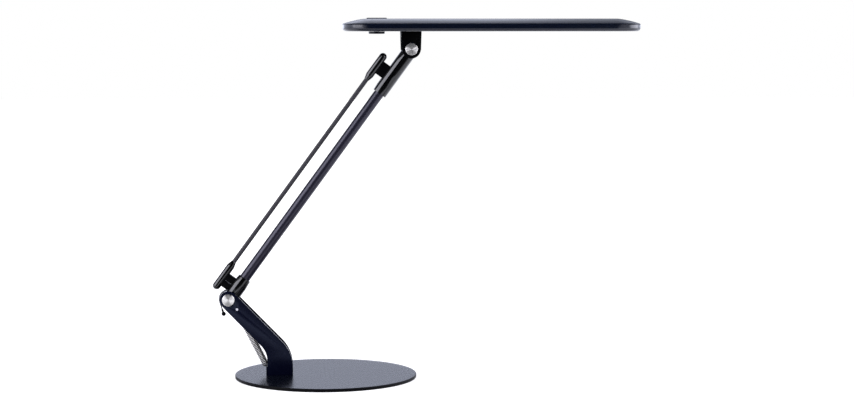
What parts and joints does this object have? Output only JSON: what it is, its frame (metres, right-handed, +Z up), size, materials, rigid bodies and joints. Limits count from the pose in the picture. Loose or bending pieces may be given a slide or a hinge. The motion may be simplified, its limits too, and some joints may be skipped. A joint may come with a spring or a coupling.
{
  "type": "folding led desk lamp",
  "caption": "Desk lamp with a round flat base, a bent two-plate neck with a counter spring, a tube-and-rod arm and a long flat LED head that both fold; push button and dimmer knob.",
  "frame": {"origin": "middle of the base's underside, on the table", "axes": "+Z up, +X the way the head points, so the arm and the head lie in the XZ plane and -Y is the side with the pivot bolts' heads"},
  "size_m": [0.5155, 0.22, 0.4353],
  "materials": {
    "pad_foam": "matte",
    "base_black": "satin",
    "neck_black": "satin",
    "knuckle_black": "gloss",
    "tube_black": "satin",
    "rod_grey": "matte",
    "block_zinc": "matte",
    "steel": "satin",
    "spring_steel": "satin",
    "cap_steel": "polished",
    "pulley_zinc": "satin",
    "roller_brass": "satin",
    "washer_nylon": "matte",
    "inlet_plastic": "satin",
    "inlet_contact": "polished",
    "lead_jacket": "matte",
    "shell_black": "satin",
    "diffuser_white": "satin",
    "guide_clear": "gloss",
    "reflector_white": "matte",
    "led_yellow": "matte",
    "spreader_alu": "satin",
    "board_green": "satin",
    "control_dark": "satin",
    "button_grey": "satin",
    "knob_grey": "satin"
  },
  "bodies": {
    "base": {"base_pad": "pad_foam", "base_plate": "base_black", "foot_block": "neck_black", "foot_screws": "steel", "dc_inlet": "inlet_plastic", "inlet_pin": "inlet_contact", "neck_plate_front": "neck_black", "neck_plate_rear": "neck_black", "neck_spacers": "neck_black", "guide_pin": "steel", "guide_roller": "roller_brass", "anchor_pin": "steel", "counter_spring": "spring_steel", "spring_link": "spring_steel", "neck_lead": "lead_jacket", "lower_bolt": "steel", "lower_nut": "steel", "lower_washers": "washer_nylon", "lower_cap_front": "cap_steel", "lower_cap_rear": "cap_steel"},
    "arm": {"lower_knuckle": "knuckle_black", "wire_pulley": "pulley_zinc", "balance_wire": "spring_steel", "wire_ball": "knuckle_black", "arm_tube": "tube_black", "arm_lead": "lead_jacket", "side_rod": "rod_grey", "lower_rod_holder": "knuckle_black", "lower_rod_block": "block_zinc", "upper_rod_holder": "knuckle_black", "upper_rod_block": "block_zinc", "upper_knuckle": "knuckle_black", "collar_screws": "steel"},
    "head": {"head_bracket": "knuckle_black", "bracket_screws": "steel", "upper_bolt": "steel", "upper_nut": "steel", "upper_washers": "washer_nylon", "upper_cap_front": "cap_steel", "upper_cap_rear": "cap_steel", "head_lower_shell": "shell_black", "head_top_shell": "shell_black", "shell_screws": "steel", "diffuser": "diffuser_white", "light_guide": "guide_clear", "reflector_sheet": "reflector_white", "led_strips": "led_yellow", "heat_spreader": "spreader_alu", "driver_module": "board_green", "control_board": "board_green", "tact_switch": "control_dark", "dimmer_pot": "control_dark"},
    "button": {"push_button": "button_grey"},
    "knob": {"dimmer_knob": "knob_grey"}
  },
  "joints": [
    {"name": "arm_hinge", "type": "hinge", "parent": "base", "child": "arm", "pos_m": [-0.1175, 0, 0.0964], "axis": [0, -1, 0], "range_deg": [-40, 42], "deforming": ["counter_spring"]},
    {"name": "head_tilt", "type": "hinge", "parent": "arm", "child": "head", "pos_m": [0.10391, 0, 0.39782], "axis": [0, -1, 0], "range_deg": [-126, 30]},
    {"name": "button_press", "type": "slide", "parent": "head", "child": "button", "axis": [0, 0, -1], "range_m": [0, 0.0008], "stiffness_N_per_m": 600, "springref_m": -0.001},
    {"name": "dimmer_turn", "type": "hinge", "parent": "head", "child": "knob", "pos_m": [0.06281, 0, 0.41782], "axis": [0, 0, -1], "range_deg": [-135, 135]}
  ]
}
